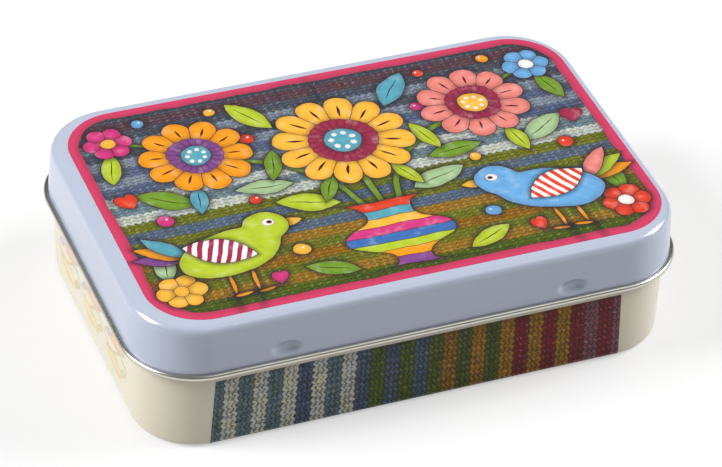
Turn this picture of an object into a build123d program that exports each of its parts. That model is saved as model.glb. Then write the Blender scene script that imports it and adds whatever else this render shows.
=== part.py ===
from build123d import *
import math
import os

# A small hinged tin pressed from tinplate, in millimetres.
# X runs along its length, Y from front to back and Z up.
# The origin is the middle of the face that it stands on.

# Sheet
PLATE = 0.25

# Outside of the closed tin
LID_LENGTH = 95.0
LID_WIDTH = 63.0
CORNER_RADIUS = 11.8
TIN_HEIGHT = 25.0

# Lid: the skirt leans in towards the top and ends in an outward roll
LID_DEPTH = 9.2
LID_LEAN = 0.5
LID_EDGE_RADIUS = 1.5
ROLL_DIAMETER = 1.0
ROLL_END_GAP = 0.05

# Base: a leaning wall, a narrower neck inside the lid and an inward roll at the mouth
WALL_INSET = 0.85
WALL_LEAN = 0.3
BASE_EDGE_RADIUS = 1.3
NECK_STEP = 0.4
NECK_SLOPE = 0.6
NECK_BEND = 0.5
RIM_DIAMETER = 1.0
RIM_GAP = 0.4

# Flat sheet that each wall section takes in at the panel
PANEL_LAP = 4.0

# Hinge: two tongues of the base's rear wall wrap round the lid's roll
TONGUE_SPACING = 46.0
TONGUE_WIDTH = 7.0
TONGUE_BEND = 0.2
TONGUE_HOOK = 30.0
TONGUE_SLIT = 0.3
HINGE_CLEARANCE = 0.05
SLOT_HEIGHT = 2.2
SLOT_CLEARANCE = 0.5

# Catch: two marks pressed into the lid's front ride over two pressed out of the neck
CATCH_SPACING = 49.0
DIMPLE_ABOVE_ROLL = 2.15
DIMPLE_LENGTH = 5.5
DIMPLE_HEIGHT = 1.7
DIMPLE_DEPTH = 0.3
BUMP_RISE = 1.9
BUMP_LENGTH = 5.0
BUMP_HEIGHT = 1.5
BUMP_DEPTH = 0.3

# Worked out from the sizes above
corner_x = LID_LENGTH / 2 - CORNER_RADIUS
corner_y = LID_WIDTH / 2 - CORNER_RADIUS
panel_edge = CORNER_RADIUS - PANEL_LAP

roll_radius = ROLL_DIAMETER / 2
roll_bore = roll_radius - PLATE
roll_height = TIN_HEIGHT - LID_DEPTH
roll_y = LID_WIDTH / 2 + roll_bore

rim_radius = RIM_DIAMETER / 2
rim_bore = rim_radius - PLATE
rim_height = TIN_HEIGHT - PLATE - RIM_GAP - rim_radius

wall_face = CORNER_RADIUS - WALL_INSET
neck_face = wall_face - NECK_STEP
neck_foot = roll_height - roll_radius

wrap_bore = roll_radius + HINGE_CLEARANCE
wrap_radius = wrap_bore + PLATE
tongue_root = roll_height - wrap_radius - TONGUE_BEND

# The wall section behind one rear corner, and the same section turned to face its side
REAR_SECTION = Plane(origin=(corner_x, corner_y, 0), x_dir=(0, 1, 0), z_dir=(1, 0, 0))
SIDE_SECTION = Plane(origin=(corner_x, corner_y, 0), x_dir=(1, 0, 0), z_dir=(0, -1, 0))
CORNER_AXIS = Axis((corner_x, corner_y, 0), (0, 0, 1))


def polar(centre, radius, angle):
    """The point at an angle in degrees on a circle in a section."""
    turn = math.radians(angle)
    return (centre[0] + radius * math.cos(turn), centre[1] + radius * math.sin(turn))


def roll_turn(radius, bore):
    """How far a rolled edge turns before it meets the sheet that it left."""
    return 180 + math.degrees(math.acos((ROLL_END_GAP - bore) / radius))


def near(sketch, point):
    """The corner of a section that lies nearest to a point."""
    return sketch.vertices().sort_by_distance(point)[0]


def lid_section(plane):
    """Cut sheet of the lid, from the panel over the edge and down into the roll."""
    under = TIN_HEIGHT - PLATE
    outer_corner = (CORNER_RADIUS - LID_LEAN, TIN_HEIGHT)
    inner_corner = (CORNER_RADIUS - LID_LEAN - PLATE, under)
    centre = (CORNER_RADIUS + roll_bore, roll_height)
    turn = roll_turn(roll_radius, roll_bore)
    with BuildSketch() as section:
        with BuildLine():
            Polyline((panel_edge, TIN_HEIGHT), outer_corner, (CORNER_RADIUS, roll_height))
            CenterArc(centre, roll_bore, 180, turn)
            Line(polar(centre, roll_bore, 180 + turn), polar(centre, roll_radius, 180 + turn))
            CenterArc(centre, roll_radius, 180, turn)
            Polyline(
                (CORNER_RADIUS - PLATE, roll_height),
                inner_corner,
                (panel_edge, under),
                (panel_edge, TIN_HEIGHT),
            )
        make_face()
        fillet(near(section, outer_corner), LID_EDGE_RADIUS)
        fillet(near(section, inner_corner), LID_EDGE_RADIUS - PLATE)
    return plane * section.sketch


def base_section(plane):
    """Cut sheet of the base, from the bottom up the wall and the neck into the rim."""
    outer_foot = (wall_face - WALL_LEAN, 0)
    inner_foot = (wall_face - WALL_LEAN - PLATE, PLATE)
    neck_top = neck_foot + NECK_SLOPE
    centre = (neck_face - rim_radius, rim_height)
    turn = roll_turn(rim_radius, rim_bore)
    with BuildSketch() as section:
        with BuildLine():
            Polyline(
                (panel_edge, 0),
                outer_foot,
                (wall_face, neck_foot),
                (neck_face, neck_top),
                (neck_face, rim_height),
            )
            CenterArc(centre, rim_radius, 0, turn)
            Line(polar(centre, rim_radius, turn), polar(centre, rim_bore, turn))
            CenterArc(centre, rim_bore, 0, turn)
            Polyline(
                (neck_face - PLATE, rim_height),
                (neck_face - PLATE, neck_top),
                (wall_face - PLATE, neck_foot),
                inner_foot,
                (panel_edge, PLATE),
                (panel_edge, 0),
            )
        make_face()
        fillet(near(section, outer_foot), BASE_EDGE_RADIUS)
        fillet(near(section, inner_foot), BASE_EDGE_RADIUS - PLATE)
        fillet(near(section, (wall_face, neck_foot)), NECK_BEND + PLATE)
        fillet(near(section, (wall_face - PLATE, neck_foot)), NECK_BEND)
        fillet(near(section, (neck_face, neck_top)), NECK_BEND)
        fillet(near(section, (neck_face - PLATE, neck_top)), NECK_BEND + PLATE)
    return plane * section.sketch


def carry_round(rear, side):
    """Carries a section round the tin: one turned corner and two half runs, mirrored twice."""
    extrude(rear, amount=-corner_x)
    revolve(rear, axis=CORNER_AXIS, revolution_arc=-90)
    extrude(side, amount=corner_y)
    mirror(about=Plane.YZ)
    mirror(about=Plane.XZ)


def flat_panel(height):
    """The flat sheet inside the wall sections, with its lower face at a height."""
    with BuildSketch(Plane.XY.offset(height)) as panel:
        RectangleRounded(
            2 * (corner_x + panel_edge), 2 * (corner_y + panel_edge), panel_edge
        )
    extrude(panel.sketch, amount=PLATE)


def pressed_mark(length, height, depth, spread):
    """An arc turned about X, whose reach past the sheet's face is a mark of the given size."""
    clear = (height**2 / 4 - depth**2) / (2 * depth)
    half = length / 2 + spread
    with BuildPart() as mark:
        with BuildSketch():
            with BuildLine():
                ThreePointArc((-half, clear), (0, clear + depth + spread), (half, clear))
                Polyline((half, clear), (half, 0), (-half, 0), (-half, clear))
            make_face()
        revolve(axis=Axis.X)
    return mark.part, clear


def press(length, height, depth, x_places, face_y, z, inward):
    """Presses marks into a front sheet whose struck face is at face_y, keeping its gauge."""
    mark, clear = pressed_mark(length, height, depth, 0)
    raised, clear = pressed_mark(length, height, depth, PLATE)
    axis_y = face_y - inward * clear
    middle = Plane(origin=(0, face_y + inward * PLATE / 2, z), z_dir=(0, inward, 0))
    for x in x_places:
        add(split(Pos(x, axis_y, z) * raised, bisect_by=middle, mode=Mode.PRIVATE))
    for x in x_places:
        add(Pos(x, axis_y, z) * mark, mode=Mode.SUBTRACT)


# Lid: panel, edge, skirt and outward roll drawn from one sheet
tongue_places = (-TONGUE_SPACING / 2, TONGUE_SPACING / 2)
catch_places = (-CATCH_SPACING / 2, CATCH_SPACING / 2)
slot_length = TONGUE_WIDTH + 2 * SLOT_CLEARANCE

with BuildPart() as lid:
    carry_round(lid_section(REAR_SECTION), lid_section(SIDE_SECTION))
    flat_panel(TIN_HEIGHT - PLATE)
    # Slots in the rear skirt, down to the roll, where the tongues reach in
    for x in tongue_places:
        with Locations((x, LID_WIDTH / 2, roll_height)):
            Box(
                slot_length,
                2 * (PLATE + LID_LEAN),
                SLOT_HEIGHT,
                align=(Align.CENTER, Align.MAX, Align.MIN),
                mode=Mode.SUBTRACT,
            )
    # Dimples of the catch, struck inwards in the front skirt
    press(
        DIMPLE_LENGTH,
        DIMPLE_HEIGHT,
        DIMPLE_DEPTH,
        catch_places,
        -(LID_WIDTH / 2 - LID_LEAN * DIMPLE_ABOVE_ROLL / LID_DEPTH),
        roll_height + DIMPLE_ABOVE_ROLL,
        1,
    )
lid.part.label = "lid"


def tongue_section(x):
    """Cut sheet of a tongue: out of the rear wall, under the roll, round it and over its top."""
    lean = WALL_LEAN * (1 - tongue_root / neck_foot)
    face = corner_y + wall_face - lean
    bend = (face + TONGUE_BEND, tongue_root)
    wrap = (roll_y, roll_height)
    turn = 180 + TONGUE_HOOK
    under = roll_height - wrap_radius
    over = roll_height - wrap_bore
    plane = Plane(origin=(x, 0, 0), x_dir=(0, 1, 0), z_dir=(1, 0, 0))
    with BuildSketch() as section:
        with BuildLine():
            CenterArc(bend, TONGUE_BEND, 90, 90)
            Line((bend[0], under), (roll_y, under))
            CenterArc(wrap, wrap_radius, 270, turn)
            Line(polar(wrap, wrap_radius, 270 + turn), polar(wrap, wrap_bore, 270 + turn))
            CenterArc(wrap, wrap_bore, 270, turn)
            Line((roll_y, over), (bend[0], over))
            CenterArc(bend, TONGUE_BEND + PLATE, 90, 90)
            Line((face - PLATE, tongue_root), (face, tongue_root))
        make_face()
    return plane * section.sketch


# Base: bottom, wall, neck and rim drawn from one sheet, with the tongues cut from its rear
bend_length = math.pi / 2 * (TONGUE_BEND + PLATE / 2)
run_length = roll_y - (LID_WIDTH / 2 - WALL_INSET + TONGUE_BEND)
wrap_length = math.radians(180 + TONGUE_HOOK) * (wrap_bore + PLATE / 2)
window_height = bend_length + run_length + wrap_length
window_length = TONGUE_WIDTH + 2 * TONGUE_SLIT

with BuildPart() as base:
    carry_round(base_section(REAR_SECTION), base_section(SIDE_SECTION))
    flat_panel(0)
    # Windows that the tongues leave in the rear wall
    for x in tongue_places:
        with Locations((x, corner_y + wall_face, tongue_root)):
            Box(
                window_length,
                2 * (PLATE + NECK_STEP + WALL_LEAN),
                window_height,
                align=(Align.CENTER, Align.CENTER, Align.MIN),
                mode=Mode.SUBTRACT,
            )
    for x in tongue_places:
        extrude(tongue_section(x), amount=TONGUE_WIDTH / 2, both=True)
    # Bumps of the catch, struck outwards in the front of the neck
    press(
        BUMP_LENGTH,
        BUMP_HEIGHT,
        BUMP_DEPTH,
        catch_places,
        -(corner_y + neck_face - PLATE),
        roll_height + DIMPLE_ABOVE_ROLL + BUMP_RISE,
        -1,
    )
base.part.label = "base"

os.makedirs("parts", exist_ok=True)
export_step(lid.part, "parts/lid.step")
export_step(base.part, "parts/base.step")
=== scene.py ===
import math

import bmesh
import bpy
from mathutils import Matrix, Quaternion, Vector


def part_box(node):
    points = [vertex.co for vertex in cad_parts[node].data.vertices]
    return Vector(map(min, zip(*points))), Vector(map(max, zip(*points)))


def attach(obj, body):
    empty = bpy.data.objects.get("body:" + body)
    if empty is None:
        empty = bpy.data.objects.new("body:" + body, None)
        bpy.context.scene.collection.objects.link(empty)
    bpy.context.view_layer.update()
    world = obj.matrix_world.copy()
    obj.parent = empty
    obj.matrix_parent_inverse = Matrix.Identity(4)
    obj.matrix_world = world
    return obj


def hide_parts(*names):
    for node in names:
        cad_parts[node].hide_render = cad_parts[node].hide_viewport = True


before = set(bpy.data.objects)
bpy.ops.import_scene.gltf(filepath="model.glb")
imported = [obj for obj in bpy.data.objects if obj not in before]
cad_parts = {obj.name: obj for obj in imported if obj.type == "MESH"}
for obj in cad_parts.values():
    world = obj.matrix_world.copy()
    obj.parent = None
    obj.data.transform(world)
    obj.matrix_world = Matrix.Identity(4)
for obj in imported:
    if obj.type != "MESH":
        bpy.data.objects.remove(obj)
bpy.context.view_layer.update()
lid_low, lid_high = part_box("lid")
_, base_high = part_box("base")

# Base sheet
# The lower half of the tin is one disc of tinplate, drawn into a tray with round corners.
# Its mouth steps in to a neck that the lid slides over, and the edge there is rolled inwards.
# Two tongues cut from the rear wall are bent out and wrapped round the lid's rolled edge.
MM = 0.001
PLATE = 0.25 * MM
ENAMEL = 0.03 * MM
CORNER_RADIUS = 11.8 * MM
PANEL_LAP = 4.0 * MM
WALL_LEAN = 0.3 * MM
FOOT_RADIUS = 1.3 * MM
ROLL_RADIUS = 0.5 * MM
ROLL_END_GAP = 0.05 * MM
NECK_STEP = 0.4 * MM
NECK_SLOPE = 0.6 * MM
NECK_BEND = 0.5 * MM
TONGUE_SPACING = 46.0 * MM
TONGUE_WIDTH = 7.0 * MM
TONGUE_BEND = 0.2 * MM
TONGUE_HOOK = math.radians(30)
TONGUE_SLIT = 0.3 * MM
HINGE_CLEARANCE = 0.05 * MM
CATCH_SPACING = 49.6 * MM
CATCH_SHIFT = 0.8 * MM
BUMP_HEIGHT = 19.85 * MM
BUMP_SIZE = (5.0 * MM, 1.5 * MM)
BUMP_DEPTH = 0.3 * MM

CORNER_STEPS = 20
BEND_STEPS = 8
ROLL_STEPS = 20
MARK_CUTS = 19
MARK_MARGIN = 1.2
MARK_FULLNESS = 3
MARK_FALL = 1.5
TOUCHING = 0.001 * MM
SHARP_EDGE = math.radians(40)

roll_bore = ROLL_RADIUS - PLATE
half_length = lid_high.x - roll_bore - ROLL_RADIUS
half_width = lid_high.y - roll_bore - ROLL_RADIUS
corner = Vector((half_length - CORNER_RADIUS, half_width - CORNER_RADIUS, 0))
roll_height = lid_low.z + ROLL_RADIUS
roll_centre = Vector((0, half_width + roll_bore, roll_height))
roll_turn = math.pi + math.acos((ROLL_END_GAP - roll_bore) / ROLL_RADIUS)
rim_height = base_high.z - ROLL_RADIUS
wall_face = base_high.x - corner.x
neck_face = wall_face - NECK_STEP
neck_foot = roll_height - ROLL_RADIUS
neck_top = neck_foot + NECK_SLOPE
panel_edge = CORNER_RADIUS - PANEL_LAP
tongue_reach = ROLL_RADIUS + HINGE_CLEARANCE + PLATE
tongue_root = roll_height - tongue_reach - TONGUE_BEND
tongue_places = (-TONGUE_SPACING / 2, TONGUE_SPACING / 2)
catch_places = (CATCH_SHIFT - CATCH_SPACING / 2, CATCH_SHIFT + CATCH_SPACING / 2)


def section(points):
    """A bmesh with a sheet's section behind the rear right corner, from (reach, height) points."""
    bm = bmesh.new()
    spots = [bm.verts.new((corner.x, corner.y + reach, height)) for reach, height in points]
    for near, far in zip(spots, spots[1:]):
        bm.edges.new((near, far))
    return bm, spots


def bend(bm, spot, radius):
    """Rounds one point of a section to a bend of the given radius."""
    ways = [edge.other_vert(spot).co - spot.co for edge in spot.link_edges]
    turn = math.pi - ways[0].angle(ways[1])
    bmesh.ops.bevel(
        bm,
        geom=[spot],
        offset=radius * math.tan(turn / 2),
        offset_type="OFFSET",
        segments=BEND_STEPS,
        profile=0.5,
        affect="VERTICES",
        material=-1,
    )


def curl(bm, parts, centre, way, turn, steps):
    """Carries the end of a sheet round an axis in equal steps. Returns what ends up last."""
    curled = bmesh.ops.spin(
        bm,
        geom=parts,
        cent=centre,
        axis=way,
        dvec=(0, 0, 0),
        angle=turn,
        steps=steps,
        use_merge=False,
        use_normal_flip=False,
        use_duplicate=False,
    )
    return curled["geom_last"]


def only(kind, parts):
    """The vertices, edges or faces among what an operator returned."""
    return [part for part in parts if isinstance(part, kind)]


def run_on(bm, parts, shift):
    """Carries the end of a sheet straight on. Returns what ends up last."""
    edges = only(bmesh.types.BMEdge, parts)
    run = bmesh.ops.extrude_edge_only(bm, edges=edges)["geom"]
    spots = only(bmesh.types.BMVert, run)
    bmesh.ops.translate(bm, verts=spots, vec=shift)
    fresh = set(spots)
    return spots + [edge for edge in only(bmesh.types.BMEdge, run) if fresh.issuperset(edge.verts)]


def carry_round(bm, panel_height, outward):
    """Carries a section round the four corners and sides, and fills the flat panel inside it."""
    corners = [
        Vector((side * corner.x, end * corner.y, 0))
        for side, end in ((1, 1), (1, -1), (-1, -1), (-1, 1))
    ]
    leading = bm.verts[:] + bm.edges[:]
    for centre, following in zip(corners, corners[1:] + corners[:1]):
        leading = curl(bm, leading, centre, (0, 0, -1), math.pi / 2, CORNER_STEPS)
        leading = run_on(bm, leading, following - centre)
    bmesh.ops.remove_doubles(bm, verts=bm.verts, dist=TOUCHING)
    ring = [
        edge
        for edge in bm.edges
        if edge.is_boundary
        and all(abs(spot.co.z - panel_height) < TOUCHING for spot in edge.verts)
    ]
    panel = bmesh.ops.contextual_create(bm, geom=ring)["faces"][0]
    bmesh.ops.recalc_face_normals(bm, faces=bm.faces)
    panel.normal_update()
    if panel.normal.z * outward < 0:
        bmesh.ops.reverse_faces(bm, faces=bm.faces)


def cut(bm, place, way, wanted):
    """Cuts the wanted faces along a plane."""
    faces = [face for face in bm.faces if wanted(face.calc_center_median())]
    edges = {edge for face in faces for edge in face.edges}
    spots = {spot for face in faces for spot in face.verts}
    bmesh.ops.bisect_plane(
        bm, geom=[*spots, *edges, *faces], dist=TOUCHING, plane_co=place, plane_no=way
    )


def outline(bm, x, z, size, wanted):
    """Cuts an upright rectangle round a middle into the wanted faces. Returns those inside it."""
    reach, rise = size[0] / 2, size[1] / 2
    for side in (-1, 1):
        cut(bm, (x + side * reach, 0, 0), (1, 0, 0), wanted)
        cut(bm, (0, 0, z + side * rise), (0, 0, 1), wanted)
    found = []
    for face in bm.faces:
        middle = face.calc_center_median()
        if wanted(middle) and abs(middle.x - x) < reach and abs(middle.z - z) < rise:
            found.append(face)
    return found


def press(bm, x, z, size, depth, wanted):
    """Presses an oval mark into a front face, with a full bottom and steep sides.

    A depth above 0 goes in, towards the back.
    """
    patch = outline(bm, x, z, [MARK_MARGIN * side for side in size], wanted)
    edges = {edge for face in patch for edge in face.edges}
    bmesh.ops.subdivide_edges(bm, edges=list(edges), cuts=MARK_CUTS, use_grid_fill=True)
    for spot in bm.verts:
        away = 2 * math.hypot((spot.co.x - x) / size[0], (spot.co.z - z) / size[1])
        if away < 1 and spot.co.y < -corner.y:
            spot.co.y += depth * (1 - away**MARK_FULLNESS) ** MARK_FALL


def layer(bm, name, outer, inner):
    """A closed layer of a sheet, between two depths under the face that its bmesh holds."""
    mesh = bpy.data.meshes.new(name)
    bm.to_mesh(mesh)
    piece = bpy.data.objects.new(name, mesh)
    bpy.context.scene.collection.objects.link(piece)
    gauge = piece.modifiers.new("gauge", "SOLIDIFY")
    gauge.thickness = inner - outer
    gauge.offset = -1 - 2 * outer / gauge.thickness
    gauge.use_even_offset = True
    graph = bpy.context.evaluated_depsgraph_get()
    solid = bpy.data.meshes.new_from_object(piece.evaluated_get(graph))
    piece.modifiers.clear()
    piece.data = solid
    solid.shade_smooth()
    solid.set_sharp_from_angle(angle=SHARP_EDGE)
    return piece


def on_rear_wall(place):
    return place.y > corner.y + panel_edge and 2 * FOOT_RADIUS < place.z < rim_height


def on_front_neck(place):
    return place.y < -(corner.y + panel_edge) and neck_top < place.z < rim_height


base_sheet, spots = section(
    [
        (panel_edge, 0),
        (wall_face - WALL_LEAN, 0),
        (wall_face, neck_foot),
        (neck_face, neck_top),
        (neck_face, rim_height),
    ]
)
for spot, radius in zip(spots[1:4], (FOOT_RADIUS, NECK_BEND + PLATE, NECK_BEND)):
    bend(base_sheet, spot, radius)
rim_centre = (0, corner.y + neck_face - ROLL_RADIUS, rim_height)
curl(base_sheet, [spots[4]], rim_centre, (1, 0, 0), roll_turn, ROLL_STEPS)
carry_round(base_sheet, 0, -1)

# Tongues: each is bent out of a window that is as high as the sheet that it takes up
tongue_face = corner.y + wall_face - WALL_LEAN * (1 - tongue_root / neck_foot)
run_length = roll_centre.y - (tongue_face + TONGUE_BEND)
wrap_turn = math.pi + TONGUE_HOOK
window_height = (
    math.pi / 2 * (TONGUE_BEND + PLATE / 2) + run_length + wrap_turn * (tongue_reach - PLATE / 2)
)
window = (TONGUE_WIDTH + 2 * TONGUE_SLIT, window_height)
for x in tongue_places:
    opening = outline(base_sheet, x, tongue_root + window_height / 2, window, on_rear_wall)
    bmesh.ops.delete(base_sheet, geom=opening, context="FACES")

    def below_window(place):
        return on_rear_wall(place) and place.z < tongue_root and abs(place.x - x) < window[0] / 2

    for side in (-1, 1):
        cut(base_sheet, (x + side * TONGUE_WIDTH / 2, 0, 0), (1, 0, 0), below_window)
    root = [
        edge
        for edge in base_sheet.edges
        if edge.is_boundary
        and all(
            abs(spot.co.z - tongue_root) < TOUCHING
            and abs(spot.co.x - x) < TONGUE_WIDTH / 2 + TOUCHING
            for spot in edge.verts
        )
    ]
    root += [spot for edge in root for spot in edge.verts]
    root_centre = (0, tongue_face + TONGUE_BEND, tongue_root)
    end = curl(base_sheet, root, root_centre, (-1, 0, 0), math.pi / 2, BEND_STEPS // 2)
    end = run_on(base_sheet, end, (0, run_length, 0))
    curl(base_sheet, end, roll_centre, (1, 0, 0), wrap_turn, ROLL_STEPS)
bmesh.ops.recalc_face_normals(base_sheet, faces=base_sheet.faces)
for x in catch_places:
    press(base_sheet, x, BUMP_HEIGHT, BUMP_SIZE, -BUMP_DEPTH, on_front_neck)


class Wire:
    """A value in a shader, which plain arithmetic turns into Math nodes."""

    def __init__(self, tree, socket):
        self.tree = tree
        self.socket = socket

    def math(self, operation, *others):
        return node(self.tree, "Math", dict(enumerate((self, *others))), operation=operation)[0]

    def __add__(self, other):
        return self.math("ADD", other)

    def __sub__(self, other):
        return self.math("SUBTRACT", other)

    def __mul__(self, other):
        return self.math("MULTIPLY", other)

    def __truediv__(self, other):
        return self.math("DIVIDE", other)

    def __abs__(self):
        return self.math("ABSOLUTE")


def node(tree, kind, inputs, **settings):
    """Adds a shader node, whose inputs are Wires or plain values by socket. Returns its outputs."""
    made = tree.nodes.new("ShaderNode" + kind)
    for name, value in settings.items():
        setattr(made, name, value)
    for slot, value in inputs.items():
        if isinstance(value, Wire):
            tree.links.new(value.socket, made.inputs[slot])
        else:
            made.inputs[slot].default_value = value
    return [Wire(tree, socket) for socket in made.outputs]


def step(value, low, high):
    """0 where a value is under low and 1 where it is over high, with a soft step between."""
    inputs = {"Value": value, "From Min": low, "From Max": high}
    return node(value.tree, "MapRange", inputs, interpolation_type="SMOOTHSTEP", clamp=False)[0]


def noise(place, size, detail=2.0):
    """Noise from 0 to 1 with features of about the given size in millimetres."""
    inputs = {"Vector": place, "Scale": 1 / size, "Detail": detail}
    return node(place.tree, "TexNoise", inputs)[0]


def mix(share, first, second, blend="MIX"):
    """Goes from a colour to the second, or to a blend with it, as the share goes from 0 to 1."""
    # A Mix node takes its two colours at sockets 6 and 7, and gives a colour at output 2
    inputs = {0: share, 6: first, 7: second}
    return node(share.tree, "Mix", inputs, data_type="RGBA", blend_type=blend)[2]


def vector(tree, x, y, z=0.0):
    return node(tree, "CombineXYZ", {0: x, 1: y, 2: z})[0]


def apart(place):
    """The three coordinates of a vector."""
    return node(place.tree, "SeparateXYZ", {0: place})


def scaled(place, factors):
    return node(place.tree, "VectorMath", {0: place, 1: factors}, operation="MULTIPLY")[0]


def srgb(red, green, blue):
    """The linear colour of a screen colour whose shares go from 0 to 255."""
    shares = (red / 255, green / 255, blue / 255)
    return (*(c / 12.92 if c <= 0.04045 else ((c + 0.055) / 1.055) ** 2.4 for c in shares), 1)


def group(name, inputs, outputs):
    """An empty shader group, from {name: kind of socket}. Returns its tree, inputs and end."""
    tree = bpy.data.node_groups.new(name, "ShaderNodeTree")
    for label, kind in inputs.items():
        tree.interface.new_socket(label, in_out="INPUT", socket_type="NodeSocket" + kind)
    for label, kind in outputs.items():
        tree.interface.new_socket(label, in_out="OUTPUT", socket_type="NodeSocket" + kind)
    source = tree.nodes.new("NodeGroupInput")
    ends = [Wire(tree, source.outputs[label]) for label in inputs]
    return tree, ends, tree.nodes.new("NodeGroupOutput")


def finish_group(end, results):
    for label, wire in results.items():
        end.id_data.links.new(wire.socket, end.inputs[label])


def material(name):
    """A material with a Principled shader. Returns it, its tree and its place in millimetres."""
    made = bpy.data.materials.new(name)
    made.use_nodes = True
    tree = made.node_tree
    places = {wire.socket.name: wire for wire in node(tree, "TexCoord", {})}
    return made, tree, scaled(places["Object"], (1 / MM, 1 / MM, 1 / MM))


def dress(made, inputs, height=None, relief=0.0):
    """Sets a material's Principled shader, with bumps of the given relief in millimetres."""
    tree = made.node_tree
    shader = tree.nodes["Principled BSDF"]
    if height is not None:
        bumps = {"Height": height, "Distance": relief * MM, "Strength": 1.0}
        inputs = {**inputs, "Normal": node(tree, "Bump", bumps)[0]}
    for slot, value in inputs.items():
        if isinstance(value, Wire):
            tree.links.new(value.socket, shader.inputs[slot])
        else:
            shader.inputs[slot].default_value = value
    return made


# Rolled tinplate: fine streaks along the rolling direction, and a slight clouding of the tin
DULL_TIN = srgb(184, 182, 170)
BRIGHT_TIN = srgb(214, 213, 206)
TIN_ROUGHNESS = 0.16
TIN_CONTRAST = 4.0
TIN_BALANCE = 0.1
STREAK_RELIEF = 0.004
STREAK_DRAW = (0.03, 1.0, 1.0)
STREAK_SIZE = 0.22
STREAK_SHARE = 0.12
CLOUD_SIZE = 9.0
CLOUD_SHARE = 0.16

tinplate, tree, place = material("tinplate")
streaks = noise(scaled(place, STREAK_DRAW), STREAK_SIZE, detail=4.0)
clouds = noise(place, CLOUD_SIZE, detail=3.0)
shade = streaks * STREAK_SHARE + clouds * CLOUD_SHARE
dress(
    tinplate,
    {
        "Base Color": mix(shade * TIN_CONTRAST - TIN_BALANCE, DULL_TIN, BRIGHT_TIN),
        "Metallic": 1.0,
        "Roughness": shade + TIN_ROUGHNESS,
    },
    streaks,
    STREAK_RELIEF,
)

base_metal = layer(base_sheet, "base_sheet", ENAMEL, PLATE)
base_metal.data.materials.append(tinplate)
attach(base_metal, "base_body")
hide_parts("base")

# Base enamel
# The outside of the base is coated in cream before the disc is pressed, and baked to a gloss.
# A pale garland of leaves is printed along each end wall.
CREAM = srgb(222, 215, 193)
CREAM_SHADE = srgb(216, 209, 186)
TINT_SIZE = 8.0
COAT = {"Coat Weight": 0.25, "Coat Roughness": 0.18}
CREAM_ROUGHNESS = 0.25
GLOSS_RELIEF = 0.03
WAVE_SIZE = 14.0
PEEL_SIZE = 0.9
PEEL_RELIEF = 0.05
HAIR_DRAW = (0.12, 1.3, 1.3)
HAIR_SIZE = 0.35
HAIR_RANGE = (0.62, 0.8)
HAIR_DULLNESS = 0.07
SMEAR_SIZE = 6.0
SMEAR_RANGE = (0.35, 0.75)
SMEAR_DULLNESS = 0.025

# Gloss coat, as enamel and varnish dry: slow waves, orange peel, hair scratches and smears
gloss_coat, (place, rough), end = group(
    "gloss coat", {"Vector": "Vector", "Rough": "Float"}, {"Roughness": "Float", "Height": "Float"}
)
waves = noise(place, WAVE_SIZE, detail=1.0)
peel = noise(place, PEEL_SIZE)
hairs = noise(scaled(place, HAIR_DRAW), HAIR_SIZE, detail=3.0)
smears = noise(place, SMEAR_SIZE, detail=3.0)
scratched = step(hairs, *HAIR_RANGE) * HAIR_DULLNESS
dulled = scratched + step(smears, *SMEAR_RANGE) * SMEAR_DULLNESS
finish_group(end, {"Roughness": rough + dulled, "Height": waves + peel * PEEL_RELIEF})

# One painted shape, from its distance in millimetres: an ink line, pooled paint and a shadow.
# A line of less than no width is faint, and one of still less is gone.
INK = srgb(66, 28, 32)
GLOOM = srgb(34, 38, 44)
WHITE = srgb(250, 246, 240)
THIN_LINE = 0.05
FAINT_LINE = -0.02
NO_LINE = -0.06
SOFT_HALO = 0.5
NO_HALO = 0.0
EDGE_BLUR = 0.04
LINE_BLUR = 0.05
LINE_STRENGTH = 0.9
SHADOW_RANGE = (1.3, -0.3)
POOL_RANGE = (-1.2, -0.1)
POOL_STRENGTH = 0.22
THICK_RANGE = (0.45, 0.8)
THICK_STRENGTH = 0.16
THIN_RANGE = (0.5, 0.25)
THIN_STRENGTH = 0.14

painted_shape, (below, paint, distance, wash, line, halo), end = group(
    "painted shape",
    {
        "Below": "Color",
        "Paint": "Color",
        "Distance": "Float",
        "Wash": "Float",
        "Line": "Float",
        "Halo": "Float",
    },
    {"Color": "Color"},
)
inside = step(distance, EDGE_BLUR, -EDGE_BLUR)
shadow = step(distance, *SHADOW_RANGE) * halo
pooled = step(distance, *POOL_RANGE) * POOL_STRENGTH
pooled = pooled + step(wash, *THICK_RANGE) * THICK_STRENGTH
thinned = step(wash, *THIN_RANGE) * THIN_STRENGTH
rim = step(abs(distance) - line, LINE_BLUR, -LINE_BLUR)
body = mix(thinned, mix(pooled, paint, INK), WHITE)
inked = rim * LINE_STRENGTH
finish_group(end, {"Color": mix(inked, mix(inside, mix(shadow, below, GLOOM), body), INK)})


class Picture:
    """A painting in progress. Each shape goes over what is there, with its ink line and shadow."""

    def __init__(self, colour, wash, line, halo):
        self.colour = colour
        self.wash = wash
        self.line = line
        self.halo = halo

    def paint(self, paint, distance, line=None, halo=None):
        inputs = {
            "Below": self.colour,
            "Paint": paint,
            "Distance": distance,
            "Wash": self.wash,
            "Line": self.line if line is None else line,
            "Halo": self.halo if halo is None else halo,
        }
        self.colour = node(distance.tree, "Group", inputs, node_tree=painted_shape)[0]


def turned(place, middle, turn=0.0):
    """A flat place, as a pair of numbers, seen from a shape's own middle and turned with it."""
    x, y = place
    if not turn:
        return x - middle[0], y - middle[1]
    along = math.cos(math.radians(turn))
    aside = math.sin(math.radians(turn))
    shift_x = -(middle[0] * along + middle[1] * aside)
    shift_y = middle[0] * aside - middle[1] * along
    return (
        x.math("MULTIPLY_ADD", along, y.math("MULTIPLY_ADD", aside, shift_x)),
        y.math("MULTIPLY_ADD", along, x.math("MULTIPLY_ADD", -aside, shift_y)),
    )


def length(place):
    x, y = place
    return x.math("MULTIPLY_ADD", x, y * y).math("SQRT")


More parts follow.
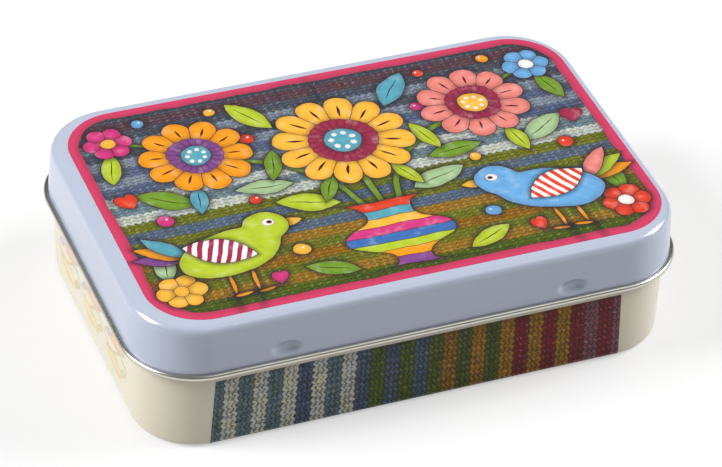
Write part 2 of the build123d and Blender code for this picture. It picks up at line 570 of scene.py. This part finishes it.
def leaf(place, wide, long):
    """Distance to a leaf with two points that lies along Y, from half its width and length."""
    x, y = place
    steep = 0.9
    bulge = (y * y).math("MULTIPLY_ADD", steep * wide / long**2, -steep * wide)
    return abs(x).math("MULTIPLY_ADD", steep, bulge)


# The garland: a wavy stem with four leaves in each repeat
GARLAND_PITCH = 12.4
GARLAND_HEIGHT = 8.0
GARLAND_REACH = 18.6
GARLAND_WAVE = 1.2
SIDE_SWAY = 0.8
UPRIGHT_SWAY = 1.2
STEM_WIDTH = 0.3
WOBBLE_SIZE = 4.0
END_WALL = 44.6
FADE = 0.2
PALE_STEM = srgb(206, 208, 150)
PALE_LEMON = srgb(234, 208, 140)
PALE_PEACH = srgb(230, 184, 146)
PALE_LEAF = srgb(206, 208, 142)
PALE_LILAC = srgb(204, 186, 200)

cream, tree, place = material("cream enamel")
x, y, z = apart(place)
wobble = noise(vector(tree, y, z), WOBBLE_SIZE)
ground = mix(noise(place, TINT_SIZE), CREAM, CREAM_SHADE)
garland = Picture(ground, wobble, NO_LINE, NO_HALO)
along = y + (wobble - 0.5) * SIDE_SWAY
level = z + (wobble - 0.5) * UPRIGHT_SWAY - GARLAND_HEIGHT
wave = (along * (math.tau / GARLAND_PITCH)).math("SINE") * GARLAND_WAVE
garland.paint(PALE_STEM, abs(level + wave) - STEM_WIDTH)
beat = (along + GARLAND_REACH).math("FLOORED_MODULO", GARLAND_PITCH) - GARLAND_PITCH / 2
beat = (beat, level)
for paint, middle, turn, wide, long in (
    (PALE_LEMON, (1.0, -2.3), 98, 1.7, 4.6),
    (PALE_PEACH, (-0.8, 2.4), 80, 1.4, 4.4),
    (PALE_LEAF, (-4.0, -1.4), 60, 0.8, 1.9),
    (PALE_LILAC, (4.0, 1.6), 62, 0.8, 1.9),
):
    garland.paint(paint, leaf(turned(beat, middle, turn), wide, long))
on_end = step(abs(x), END_WALL, END_WALL + FADE)
on_wall = on_end * step(abs(y), GARLAND_REACH, GARLAND_REACH - FADE)
rough, height = node(
    tree, "Group", {"Vector": place, "Rough": CREAM_ROUGHNESS}, node_tree=gloss_coat
)
dress(
    cream,
    {"Base Color": mix(on_wall, ground, garland.colour), "Roughness": rough, **COAT},
    height,
    GLOSS_RELIEF,
)

base_enamel = layer(base_sheet, "base_enamel", 0, ENAMEL)
base_enamel.data.materials.append(cream)
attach(base_enamel, "base_body")

# Knitted panels
# Varnished prints of plain knitting on the front and back walls, with the rows standing upright.
# Each runs down the wall and round the bend at its foot, and widens a little on the way,
# because pressing draws the sheet in towards the mouth.
PRINT = 0.03 * MM
STITCH = 1.3
ROW = 0.837
ROWS_IN_STRIPE = 3
ZIGZAG = 0.5
STITCH_DRIFT = 0.5
ROW_DRIFT = 0.9
DRIFT_SIZE = 0.9
DYE_SIZE = 2.8
DYE_MIDDLE = 0.5
COOL_END = 0.3
WARM_END = 0.7
FUZZ_SIZE = 0.35
FUZZ = 1.5
PLIES = 2
PLY_SLANT = 1.5
PLY_SHADE = 0.06
FLECK = 0.4
CREASE_WIDTH = 0.14
CREASE_SHADE = 0.4
LEG_EDGE = (0.4, 0.6)
LEG_SHADE = 0.35
HOLLOW_RANGE = (0.85, -0.1)
SHEEN_RANGE = (0.8, 1.5)
SHEEN = 0.16
FIRST_STRIPE_CUT = 1.37
PANEL_CREASE = 0.82
KNIT_ROUGHNESS = 0.22
KNIT_VARNISH = {"Specular IOR Level": 0.12, "Coat Weight": 0.05, "Coat Roughness": 0.2}
PANEL_TOP = 13.6 * MM
PANEL_FOOT = 0.2 * MM
PANEL_LEFT = -35.7 * MM
PANEL_RIGHT = 35.1 * MM
PANEL_SPREAD = 1.4

# Plain knitting: each row of stitches is a zigzag of slanting strands
knitting, (across, along, stitch, row), end = group(
    "knitting",
    {"Across": "Float", "Along": "Float", "Stitch": "Float", "Row": "Float"},
    {"Count": "Float", "Light": "Float", "Fleck": "Float", "Dye": "Float"},
)
place = vector(across.tree, across, along)
dye = noise(place, DYE_SIZE)
drift = noise(place, DRIFT_SIZE, detail=3.0) - 0.5
across = across / stitch + drift * STITCH_DRIFT
zigzag = across.math("PINGPONG", 0.5) * 2.0
level = along / row + drift * ROW_DRIFT - zigzag * ZIGZAG
count = level.math("FLOOR")
share = level.math("FRACT")
strand = (share * math.pi).math("SINE")
crease = step(zigzag * (zigzag * -1.0 + 1.0), 0.0, CREASE_WIDTH)
leg = step(across.math("FRACT"), *LEG_EDGE)
twist = ((share + zigzag * PLY_SLANT + across) * (PLIES * math.tau)).math("SINE")
fuzz = noise(place, FUZZ_SIZE, detail=3.0) - 0.5
light = strand * (crease * CREASE_SHADE + (1 - CREASE_SHADE))
light = light * (leg * LEG_SHADE + (1 - LEG_SHADE))
cell = vector(place.tree, (across * 2.0).math("FLOOR"), count)
fleck = node(place.tree, "TexWhiteNoise", {"Vector": cell}, noise_dimensions="2D")[0]
light = light + twist * PLY_SHADE + fuzz * FUZZ
finish_group(end, {"Count": count, "Light": light, "Fleck": fleck, "Dye": dye})

COOL_DYE = (0.9, 0.98, 1.12, 1)
WARM_DYE = (1.08, 1.02, 0.86, 1)
BLACK = srgb(24, 25, 27)
SLATE = srgb(94, 114, 121)
OAT = srgb(198, 198, 182)
NAVY = srgb(76, 86, 111)
DENIM = srgb(76, 90, 108)
MOSS = srgb(82, 96, 12)
RUST = srgb(143, 104, 8)
FOREST = srgb(72, 87, 12)
AMBER = srgb(158, 110, 5)
MUSTARD = srgb(158, 114, 5)
WINE = srgb(124, 23, 32)
PLUM = srgb(80, 56, 64)
ROSE = srgb(130, 83, 89)


def in_turn(share, colours):
    """Goes through the colours in equal bands with hard edges as the share goes from 0 to 1."""
    band = node(share.tree, "ValToRGB", {"Fac": share})[0]
    ramp = band.socket.node.color_ramp
    ramp.interpolation = "CONSTANT"
    while len(ramp.elements) < len(colours):
        ramp.elements.new(0.5)
    for index in range(len(colours)):
        ramp.elements[index].position = index / len(colours)
    for element, colour in zip(ramp.elements, colours):
        element.color = colour
    return band


def knitted(tree, across, along, yarns, first, crease):
    """Colour of knitting whose stripes go through the yarns, from a place across and along them.

    The stripes start at a place along them, and a crease of 1 is as dark as creases can be.
    """
    inputs = {"Across": across, "Along": along, "Stitch": STITCH, "Row": ROW}
    count, light, fleck, dye = node(tree, "Group", inputs, node_tree=knitting)
    stripe = (count - (round(first / ROW) - 0.5)) / (ROWS_IN_STRIPE * len(yarns))
    yarn = in_turn(stripe, yarns)
    yarn = mix(step(dye, DYE_MIDDLE, COOL_END), yarn, COOL_DYE, "MULTIPLY")
    yarn = mix(step(dye, DYE_MIDDLE, WARM_END), yarn, WARM_DYE, "MULTIPLY")
    tone = light + (fleck - 0.5) * FLECK
    creased = mix(step(tone, *HOLLOW_RANGE) * crease, yarn, BLACK)
    return mix(step(tone, *SHEEN_RANGE) * SHEEN, creased, WHITE)


knit_print, tree, place = material("knit print")
x, _, z = apart(place)
# Minus how much wider the panel is at each height than at its top
spread = z * (PANEL_SPREAD * MM) - (1 + PANEL_SPREAD * PANEL_TOP)
left_to_right = (
    [SLATE, OAT] * 3 + [NAVY, OAT, SLATE, OAT, NAVY, MOSS, DENIM, MOSS, DENIM, MOSS]
    + [RUST, FOREST, AMBER, FOREST, MUSTARD, WINE, MUSTARD, WINE, MUSTARD]
    + [WINE, ROSE, WINE, ROSE]
)
first = PANEL_LEFT / MM - FIRST_STRIPE_CUT
colour = knitted(tree, z, x / spread * -1.0, left_to_right, first, PANEL_CREASE)
rough, height = node(
    tree, "Group", {"Vector": place, "Rough": KNIT_ROUGHNESS}, node_tree=gloss_coat
)
dress(
    knit_print,
    {"Base Color": colour, "Roughness": rough, **KNIT_VARNISH},
    height,
    GLOSS_RELIEF,
)

wall_foot = wall_face - WALL_LEAN
panel_reach = wall_face - WALL_LEAN * (1 - PANEL_TOP / neck_foot)
panel_sides = {
    "front_print": (math.pi, -PANEL_RIGHT, -PANEL_LEFT),
    "back_print": (0, PANEL_LEFT, PANEL_RIGHT),
}
for name, (turn, left, right) in panel_sides.items():
    panel, spots = section([(panel_reach, PANEL_TOP), (wall_foot, 0), (panel_edge, 0)])
    bend(panel, spots[1], FOOT_RADIUS)
    bmesh.ops.translate(panel, verts=panel.verts, vec=(left - corner.x, 0, 0))
    run_on(panel, panel.edges[:], (right - left, 0, 0))
    bmesh.ops.bisect_plane(
        panel,
        geom=panel.verts[:] + panel.edges[:] + panel.faces[:],
        dist=TOUCHING,
        plane_co=(0, 0, PANEL_FOOT),
        plane_no=(0, 0, 1),
        clear_inner=True,
    )
    for spot in panel.verts:
        spot.co.x *= 1 + PANEL_SPREAD * (PANEL_TOP - spot.co.z)
    bmesh.ops.recalc_face_normals(panel, faces=panel.faces)
    panel.faces.ensure_lookup_table()
    if panel.faces[0].normal.y < 0:
        bmesh.ops.reverse_faces(panel, faces=panel.faces)
    half_turn = Quaternion((0, 0, 1), turn).to_matrix()
    bmesh.ops.rotate(panel, verts=panel.verts, cent=(0, 0, 0), matrix=half_turn)
    film = layer(panel, name, -PRINT, PRINT / 2)
    film.data.materials.append(knit_print)
    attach(film, "base_body")

# Lid sheet
# The upper half is drawn from tinplate in the same way, with a straight skirt.
# Its edge is rolled outwards, which shows the bare inner face of the sheet as a bright bead.
# Two slots in the rear skirt let the tongues of the hinge through, and two dimples are the catch.
LID_LEAN = 0.5 * MM
LID_EDGE_RADIUS = 1.5 * MM
SLOT_HEIGHT = 2.2 * MM
SLOT_CLEARANCE = 0.5 * MM
DIMPLE_HEIGHT = 18.15 * MM
DIMPLE_SIZE = (5.4 * MM, 3.0 * MM)
DIMPLE_DEPTH = 0.7 * MM
lid_top = lid_high.z - PRINT
skirt_reach = corner.y + CORNER_RADIUS - LID_LEAN


def on_rear_skirt(place):
    return place.y > skirt_reach and roll_height < place.z < lid_top - LID_EDGE_RADIUS


def on_front_skirt(place):
    return place.y < -skirt_reach and roll_height < place.z < lid_top - LID_EDGE_RADIUS


lid_sheet, spots = section(
    [
        (panel_edge, lid_top),
        (CORNER_RADIUS - LID_LEAN, lid_top),
        (CORNER_RADIUS, roll_height),
    ]
)
bend(lid_sheet, spots[1], LID_EDGE_RADIUS)
curl(lid_sheet, [spots[2]], roll_centre, (1, 0, 0), roll_turn, ROLL_STEPS)
carry_round(lid_sheet, lid_top, 1)
slot = (TONGUE_WIDTH + 2 * SLOT_CLEARANCE, SLOT_HEIGHT)
for x in tongue_places:
    opening = outline(lid_sheet, x, roll_height + SLOT_HEIGHT / 2, slot, on_rear_skirt)
    bmesh.ops.delete(lid_sheet, geom=opening, context="FACES")
for x in catch_places:
    press(lid_sheet, x, DIMPLE_HEIGHT, DIMPLE_SIZE, DIMPLE_DEPTH, on_front_skirt)

lid_metal = layer(lid_sheet, "lid_sheet", ENAMEL, PLATE)
lid_metal.data.materials.append(tinplate)
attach(lid_metal, "lid_body")
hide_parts("lid")

# Lid enamel
# The lid's outside has a lilac-blue coat, laid on before its disc is pressed and baked to a
# gloss, as the cream one is. It shows between the picture and the roll, and on the skirt.
LILAC = srgb(182, 189, 207)
LILAC_SHADE = srgb(177, 185, 204)
LILAC_ROUGHNESS = 0.21

lilac, tree, place = material("lilac enamel")
rough, height = node(
    tree, "Group", {"Vector": place, "Rough": LILAC_ROUGHNESS}, node_tree=gloss_coat
)
tinted = mix(noise(place, TINT_SIZE), LILAC, LILAC_SHADE)
dress(lilac, {"Base Color": tinted, "Roughness": rough, **COAT}, height, GLOSS_RELIEF)

lid_enamel = layer(lid_sheet, "lid_enamel", 0, ENAMEL)
lid_enamel.data.materials.append(lilac)
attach(lid_enamel, "lid_body")

# Lid print
# A varnished picture on the flat of the lid, printed a little to the right of the middle:
# folk flowers in a striped vase between two birds, on striped knitting in a pink border.
PRINT_INSET = 2.7 * MM
PRINT_SHIFT = Vector((0.73, 0.10, 0)) * MM
PRINT_RADIUS = 9.4 * MM
PRINT_ROUGHNESS = 0.25
PRINT_VARNISH = {"Specular IOR Level": 0.4, "Coat Weight": 0.2, "Coat Roughness": 0.18}
BORDER = 1.8
FIRST_ROW = -28.2
LID_BRIGHTNESS = 1.3
LID_CREASE = 0.55

print_x = half_length - PRINT_INSET
print_y = half_width - PRINT_INSET
picture = bmesh.new()
bmesh.ops.create_grid(picture, x_segments=1, y_segments=1, size=1)
bmesh.ops.scale(picture, verts=picture.verts, vec=(print_x, print_y, 1))
bmesh.ops.bevel(
    picture,
    geom=picture.verts[:],
    offset=PRINT_RADIUS,
    offset_type="OFFSET",
    segments=CORNER_STEPS,
    profile=0.5,
    affect="VERTICES",
    material=-1,
)
bmesh.ops.translate(picture, verts=picture.verts, vec=PRINT_SHIFT + Vector((0, 0, lid_top)))


def disc(place, radius):
    return length(place) - radius


def oval(place, wide, long):
    """Distance to an oval that lies along Y, from half its width and length."""
    x, y = place
    return (length((x / wide, y / long)) - 1.0) * min(wide, long)


def heart(place, size):
    """Distance to a heart that stands upright."""
    x, y = place
    lift = 0.75
    lobes = (abs(x) * size).math("SQRT") * lift
    return length((x, y - lobes)) - size


def arc(place, radius, wide):
    """Distance to a stem that bends through the quarter up and to the left of a middle."""
    x, y = place
    return (abs(length(place) - radius) - wide).math("MAXIMUM", x).math("MAXIMUM", y * -1.0)


def spoke(place, count):
    """A place as seen in the nearest of so many equal sectors, whose middle lies along X."""
    x, y = place
    turn = y.math("ARCTAN2", x) * (count / math.tau)
    turn = turn.math("PINGPONG", 0.5) * (math.tau / count)
    radius = length(place)
    return radius * turn.math("COSINE"), radius * turn.math("SINE")


def petals(place, count, reach, wide):
    """Distance to the rounded petals of a bloom, with a seam where two of them meet."""
    along, beside = spoke(place, count)
    seam = beside * math.cos(math.pi / count) - along * math.sin(math.pi / count)
    tip = (along - (reach - wide)).math("MAXIMUM", 0.0)
    return (length((tip, beside)) - wide).math("MAXIMUM", seam)


STRIPE_EDGE = (0.22, 0.28)


def striped(place, pitch, first, second):
    """Two paints in turns along X, in pairs of stripes of the given pitch."""
    return mix(step((place[0] / pitch).math("PINGPONG", 0.5), *STRIPE_EDGE), first, second)


# A bloom's parts, as shares of how far its petals reach
PETAL_FULLNESS = 2.4
RIB_PLACE = 0.68
RIB_SIZE = (0.02, 0.13)
FLORETS_REACH = 0.5
FLORET_WIDTH = 0.13
CENTRE_RADIUS = 0.27
DOT_PLACE = 0.165
DOT_RADIUS = 0.042
DOTS = 7


def bloom(painting, place, reach, count, petal, ring, centre):
    """Paints a bloom: petals with ribs, a ring of florets, and a dotted centre."""
    painting.paint(petal, petals(place, count, reach, reach * PETAL_FULLNESS / count))
    rib = turned(spoke(place, count), (reach * RIB_PLACE, 0), 90)
    rib = leaf(rib, *(reach * share for share in RIB_SIZE))
    painting.paint(INK, rib, FAINT_LINE, NO_HALO)
    florets = petals(place, count * 2, reach * FLORETS_REACH, reach * FLORET_WIDTH)
    painting.paint(ring, florets, THIN_LINE, SOFT_HALO)
    painting.paint(centre, disc(place, reach * CENTRE_RADIUS), THIN_LINE, SOFT_HALO)
    dots = turned(spoke(place, DOTS), (reach * DOT_PLACE, 0))
    painting.paint(WHITE, disc(dots, reach * DOT_RADIUS), FAINT_LINE, NO_HALO)


# The knitting behind the picture has its rows along the lid, from grey ones at the back to ochre
# ones at the front. The first row is hidden under the pink border.
CHARCOAL = srgb(66, 70, 80)
HEATHER = srgb(112, 122, 134)
PEBBLE = srgb(168, 173, 165)
OLIVE = srgb(96, 100, 22)
OCHRE = srgb(134, 100, 26)
TOFFEE = srgb(126, 88, 14)

lid_picture, tree, place = material("lid picture")
x, y, _ = apart(place)
x = x - PRINT_SHIFT.x / MM
y = y - PRINT_SHIFT.y / MM
back_to_front = (
    [CHARCOAL, PLUM, CHARCOAL, HEATHER, CHARCOAL, HEATHER, NAVY, HEATHER, NAVY, PEBBLE]
    + [SLATE, PEBBLE, OLIVE, DENIM, OLIVE, DENIM, OCHRE, OLIVE, TOFFEE, OLIVE]
    + [OCHRE, FOREST, TOFFEE]
)
bright_yarns = [[LID_BRIGHTNESS * share for share in colour] for colour in back_to_front]
ground = knitted(tree, x, y * -1.0, bright_yarns, FIRST_ROW, LID_CREASE)

# A hand-painted look: edges waver, slowly and quickly, and the paint lies thick and thin
WASH_SIZE = 2.2
EVEN_WASH = 0.5
INK_LINE = 0.07
HALO = 0.75
SLOW_WAVER = (7.0, 1.1)
QUICK_WAVER = (1.5, 0.22)
wash = noise(vector(tree, x, y), WASH_SIZE, detail=4.0)
for size, reach in (SLOW_WAVER, QUICK_WAVER):
    aside = noise(vector(tree, x, y), size, detail=1.0)
    along = noise(vector(tree, y, x, size), size, detail=1.0)
    x = x + (aside - 0.5) * reach
    y = y + (along - 0.5) * reach

# The pink border runs round the knitting
PINK = srgb(202, 63, 98)
painting = Picture(ground, EVEN_WASH, INK_LINE, HALO)
inner_x = print_x / MM - BORDER
inner_y = print_y / MM - BORDER
inner_radius = PRINT_RADIUS / MM - BORDER
edge = (
    (abs(x) - (inner_x - inner_radius)).math("MAXIMUM", 0.0),
    (abs(y) - (inner_y - inner_radius)).math("MAXIMUM", 0.0),
)
painting.paint(PINK, (length(edge) - inner_radius) * -1.0, FAINT_LINE, SOFT_HALO)
painting.wash = wash

# Both halves have the same drawing, in paints of their own. Places and sizes are in millimetres
# from the middle of the picture, and turns in degrees.
HALVES_BLUR = 0.02
right = step(x, -HALVES_BLUR, HALVES_BLUR)
half = (abs(x), y)
ORANGE = srgb(240, 154, 28)
YELLOW = srgb(244, 182, 62)
LIME = srgb(178, 198, 48)
GREEN = srgb(112, 152, 44)
PALE_GREEN = srgb(160, 190, 140)
TEAL = srgb(84, 160, 178)
SKY = srgb(104, 166, 216)
BLUE = srgb(62, 110, 176)
PURPLE = srgb(132, 76, 144)
MAGENTA = srgb(206, 58, 124)
SALMON = srgb(228, 132, 122)
SCARLET = srgb(220, 66, 40)
BURGUNDY = srgb(160, 46, 78)


def twin(left_paint, right_paint):
    """A paint for both halves of the drawing, with a colour of its own in each."""
    return mix(right, left_paint, right_paint)


# Stems and leaves
MIDDLE_STEM = (0.7, 13.0)
VEIN_WIDTH = 0.1
VEIN_LENGTH = 0.7
for middle, radius, wide in (((25, -12), 22.0, 0.55), ((40, 6), 14.0, 0.4)):
    painting.paint(GREEN, arc(turned(half, middle), radius, wide))
painting.paint(GREEN, oval(half, *MIDDLE_STEM))
for middle, turn, wide, long, left_paint, right_paint in (
    ((11.5, -5.0), -72, 2.3, 5.4, LIME, PALE_GREEN),
    ((7.0, -2.5), 28, 1.5, 3.8, GREEN, LIME),
    ((17.0, 1.2), -84, 2.0, 5.0, PALE_GREEN, GREEN),
    ((13.6, 6.4), 18, 1.6, 4.2, GREEN, LIME),
    ((13.0, 20.6), -34, 2.3, 5.2, LIME, TEAL),
    ((33.5, 2.6), -58, 2.3, 5.6, GREEN, PALE_GREEN),
    ((28.4, 1.0), 12, 1.6, 3.8, TEAL, LIME),
    ((39.6, 13.4), 14, 1.8, 4.2, LIME, GREEN),
    ((13.6, -22.6), -66, 1.8, 4.6, GREEN, LIME),
    ((39.4, -13.6), 8, 1.9, 4.4, PALE_GREEN, GREEN),
):
    spot = turned(half, middle, turn)
    painting.paint(twin(left_paint, right_paint), leaf(spot, wide, long))
    painting.paint(INK, leaf(spot, VEIN_WIDTH, long * VEIN_LENGTH), FAINT_LINE, NO_HALO)

# Berries, each with a spot of light, and hearts
GLINT_PLACE = (-0.35, 0.4)
GLINT_RADIUS = 0.22
for middle, radius, left_paint, right_paint in (
    ((15.4, 14.6), 1.3, SCARLET, MAGENTA),
    ((35.6, -2.6), 1.5, MAGENTA, SCARLET),
    ((19.6, -1.8), 1.1, SCARLET, YELLOW),
    ((16.8, -16.4), 1.4, YELLOW, SKY),
    ((31.4, 24.2), 1.2, SKY, ORANGE),
    ((19.0, 23.6), 1.1, YELLOW, SCARLET),
):
    spot = turned(half, middle)
    painting.paint(twin(left_paint, right_paint), disc(spot, radius))
    painting.paint(WHITE, disc(turned(spot, GLINT_PLACE), GLINT_RADIUS), FAINT_LINE, NO_HALO)
for middle, turn, size, left_paint, right_paint in (
    ((39.6, 3.6), -12, 1.9, SCARLET, BURGUNDY),
    ((22.8, -22.6), 10, 1.5, MAGENTA, SCARLET),
):
    painting.paint(twin(left_paint, right_paint), heart(turned(half, middle, turn), size))

# Blooms: a large one at the top of each half and in the middle, and small ones in the corners
SIDE_BLOOM = (25, 12.8)
SIDE_TURN = 9
SIDE_REACH = 9.8
SIDE_PETALS = 10
MIDDLE_BLOOM = (0, 9.4)
MIDDLE_TURN = 15
MIDDLE_REACH = 12.2
MIDDLE_PETALS = 12
SMALL_PETALS = {"count": 6, "reach": 4.3, "wide": 1.75}
SMALL_CENTRE = 1.3
FAINT_HALO = 0.4
spot = turned(half, SIDE_BLOOM, SIDE_TURN)
side_paints = (twin(ORANGE, SALMON), twin(PURPLE, BURGUNDY), twin(TEAL, YELLOW))
bloom(painting, spot, SIDE_REACH, SIDE_PETALS, *side_paints)
for middle, left_paint, right_paint in (
    ((38.0, 20.4), MAGENTA, SKY),
    ((38.8, -20.8), YELLOW, SCARLET),
):
    spot = turned(half, middle)
    painting.paint(twin(left_paint, right_paint), petals(spot, **SMALL_PETALS))
    painting.paint(twin(YELLOW, WHITE), disc(spot, SMALL_CENTRE), THIN_LINE, FAINT_HALO)
spot = turned((x, y), MIDDLE_BLOOM, MIDDLE_TURN)
bloom(painting, spot, MIDDLE_REACH, MIDDLE_PETALS, YELLOW, BURGUNDY, TEAL)

# The vase, with painted bands between ink lines
VASE_FOOT = -25.4
VASE_HEIGHT = 17.0
VASE_WIDTH = 9.6
FOOT_SHARE = (0, 0.52)
ANKLE_SHARE = (0.1, 0.3)
BELLY_SHARE = (0.45, 1.0)
NECK_SHARE = (0.8, 0.42)
LIP_SHARE = (1, 0.68)
BAND_EDGE = (0.07, 0.02)
BAND_LINE = 0.8
glazes = (PURPLE, ORANGE, LIME, BLUE, MAGENTA, YELLOW, TEAL, SCARLET)
band = 1 / len(glazes)
rise = (y - VASE_FOOT) / VASE_HEIGHT
profile = node(tree, "FloatCurve", {"Value": rise})[0]
mapping = profile.socket.node.mapping
curve = mapping.curves[0]
for share, width in (ANKLE_SHARE, BELLY_SHARE, NECK_SHARE):
    curve.points.new(share, width)
curve.points[0].location = FOOT_SHARE
curve.points[-1].location = LIP_SHARE
mapping.update()
bands = in_turn(rise, glazes)
between = step((rise / band).math("PINGPONG", 0.5), *BAND_EDGE)
beside = abs(x) - profile * VASE_WIDTH
vase = beside.math("MAXIMUM", (abs(rise - 0.5) - 0.5) * VASE_HEIGHT)
painting.paint(mix(between * BAND_LINE, bands, INK), vase)

# The birds, which face the vase: tail, legs, beak, body with head, wing and eye
TAIL_ROOT = (34.5, -13.2)
TAIL_TURNS = (-78, -60, -42)
TAIL_FEATHER = (1.5, 5.0)
FEATHER_PLACE = (0, 4.8)
LEG_PLACES = (26.6, 30.4)
LEG_HEIGHT = -21.4
LEG_TURN = 8
LEG_SIZE = (0.36, 2.7)
TOES_FORWARD = 0.8
TOES_HEIGHT = -24.2
TOES_TURN = 84
TOES_SIZE = (0.36, 1.6)
BEAK_PLACE = (16.4, -8.9)
BEAK_TURN = 84
BEAK_SIZE = (1.1, 2.4)
BODY_PLACE = (28.2, -13.8)
BODY_TURN = 76
BODY_SIZE = (5.4, 9.2)
HEAD_PLACE = (20.4, -8.8)
HEAD_RADIUS = 3.7
NAPE_BLEND = 1.6
WING_PLACE = (29.6, -12.8)
WING_TURN = -66
WING_SIZE = (3.1, 6.2)
FEATHER_PITCH = 1.6
EYE_PLACE = (19.8, -8.0)
EYE_RADIUS = 0.95
EYE_LINE = 0.03
PUPIL_PLACE = (19.6, -8.0)
PUPIL_RADIUS = 0.4
PUPIL_LINE = 0.0
tail_paints = ((PURPLE, ORANGE), (ORANGE, LIME), (TEAL, SALMON))
for turn, (left_paint, right_paint) in zip(TAIL_TURNS, tail_paints):
    spot = turned(turned(half, TAIL_ROOT, turn), FEATHER_PLACE)
    painting.paint(twin(left_paint, right_paint), leaf(spot, *TAIL_FEATHER))
for leg in LEG_PLACES:
    spot = turned(half, (leg, LEG_HEIGHT), LEG_TURN)
    painting.paint(ORANGE, oval(spot, *LEG_SIZE), THIN_LINE)
    spot = turned(half, (leg - TOES_FORWARD, TOES_HEIGHT), TOES_TURN)
    painting.paint(ORANGE, oval(spot, *TOES_SIZE), THIN_LINE)
painting.paint(YELLOW, leaf(turned(half, BEAK_PLACE, BEAK_TURN), *BEAK_SIZE))
body = oval(turned(half, BODY_PLACE, BODY_TURN), *BODY_SIZE)
head = disc(turned(half, HEAD_PLACE), HEAD_RADIUS)
body = body.math("SMOOTH_MIN", head, NAPE_BLEND)
painting.paint(twin(LIME, SKY), body)
wing = leaf(turned(half, WING_PLACE, WING_TURN), *WING_SIZE)
feathers = turned(half, WING_PLACE, WING_TURN + 90)
painting.paint(striped(feathers, FEATHER_PITCH, twin(BURGUNDY, SCARLET), WHITE), wing)
painting.paint(WHITE, disc(turned(half, EYE_PLACE), EYE_RADIUS), EYE_LINE, NO_HALO)
painting.paint(INK, disc(turned(half, PUPIL_PLACE), PUPIL_RADIUS), PUPIL_LINE, NO_HALO)

rough, height = node(
    tree, "Group", {"Vector": place, "Rough": PRINT_ROUGHNESS}, node_tree=gloss_coat
)
dress(
    lid_picture,
    {"Base Color": painting.colour, "Roughness": rough, **PRINT_VARNISH},
    height,
    GLOSS_RELIEF,
)

lid_print = layer(picture, "lid_print", -PRINT, PRINT / 2)
lid_print.data.materials.append(lid_picture)
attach(lid_print, "lid_body")

# Floor and light
# A white floor in a dim pale room. A large soft lamp stands high at the left, a weaker one at
# the right, and a faint one hangs over the front.
ROOM = 0.15
PLAIN_LIGHT = (1, 1, 1, 1)
PAPER = srgb(184, 184, 184)
PAPER_SHADE = srgb(178, 178, 178)
PAPER_ROUGHNESS = 0.8
PAPER_CLOUDS = 400.0
FLOOR_REACH = 3
FLOOR_GAP = 0.05 * MM
FLOOR_LIFT = 0.47
FAR_LIFT = 0.4
NEAR_TIN = 200.0
FAR_OFF = 900.0
LAMP_SIZE = 0.55
LAMP_DISTANCE = 1.1

paper, tree, place = material("paper")
shade = noise(place, PAPER_CLOUDS)
x, y, _ = apart(place)
far = step(length((x, y)), NEAR_TIN, FAR_OFF)
rays = {wire.socket.name: wire for wire in node(tree, "LightPath", {})}
seen = rays["Is Camera Ray"].math("MAXIMUM", rays["Is Glossy Ray"])
seen = seen.math("MAXIMUM", rays["Is Transmission Ray"])
dress(
    paper,
    {
        "Base Color": mix(shade, PAPER, PAPER_SHADE),
        "Roughness": PAPER_ROUGHNESS,
        "Emission Color": PLAIN_LIGHT,
        "Emission Strength": seen * (far * FAR_LIFT + FLOOR_LIFT),
    },
)
floor_sheet = bmesh.new()
bmesh.ops.create_grid(floor_sheet, x_segments=1, y_segments=1, size=FLOOR_REACH)
bmesh.ops.translate(floor_sheet, verts=floor_sheet.verts, vec=(0, 0, -FLOOR_GAP))
floor_mesh = bpy.data.meshes.new("floor")
floor_sheet.to_mesh(floor_mesh)
floor = bpy.data.objects.new("floor", floor_mesh)
bpy.context.scene.collection.objects.link(floor)
floor.data.materials.append(paper)

world = bpy.data.worlds.new("studio")
bpy.context.scene.world = world
world.use_nodes = True
background = world.node_tree.nodes["Background"]
background.inputs["Color"].default_value = PLAIN_LIGHT
background.inputs["Strength"].default_value = ROOM

# Each lamp's level is how bright a white face turned to it would be with that lamp alone
for name, way, level in (
    ("left lamp", (-0.7, 0.14, 0.54), 1.08),
    ("right lamp", (0.68, -0.1, 0.48), 0.87),
    ("front lamp", (0.28, -0.4, 0.85), 0.11),
):
    lamp_data = bpy.data.lights.new(name, "AREA")
    lamp_data.shape = "SQUARE"
    lamp_data.size = LAMP_SIZE
    lamp_data.energy = level * (math.pi * LAMP_DISTANCE) ** 2
    lamp = bpy.data.objects.new(name, lamp_data)
    lamp.location = Vector(way).normalized() * LAMP_DISTANCE
    lamp.rotation_mode = "QUATERNION"
    lamp.rotation_quaternion = (-lamp.location).to_track_quat("-Z", "Y")
    bpy.context.scene.collection.objects.link(lamp)

# Camera
# It stands in front of the tin, to the left, and looks down on it through a long lens. Its place,
# turn and lens are fitted to the edges of the real tin.
VIEW_AZIMUTH = math.radians(-22.73)
VIEW_ELEVATION = math.radians(37.78)
VIEW_ROLL = math.radians(2.82)
VIEW_DISTANCE = 600.5 * MM
VIEW_AIM = Vector((0.62, -0.57, 12.5)) * MM
SENSOR_WIDTH = 36
LENS = 177.87

camera_data = bpy.data.cameras.new("camera")
camera_data.sensor_width = SENSOR_WIDTH
camera_data.lens = LENS
camera = bpy.data.objects.new("camera", camera_data)
back = Vector(
    (
        math.sin(VIEW_AZIMUTH) * math.cos(VIEW_ELEVATION),
        -math.cos(VIEW_AZIMUTH) * math.cos(VIEW_ELEVATION),
        math.sin(VIEW_ELEVATION),
    )
)
camera.location = VIEW_AIM + back * VIEW_DISTANCE
camera.rotation_mode = "QUATERNION"
camera.rotation_quaternion = (-back).to_track_quat("-Z", "Y") @ Quaternion((0, 0, 1), VIEW_ROLL)
bpy.context.scene.collection.objects.link(camera)
bpy.context.scene.camera = camera
bpy.context.scene.view_settings.view_transform = "Standard"
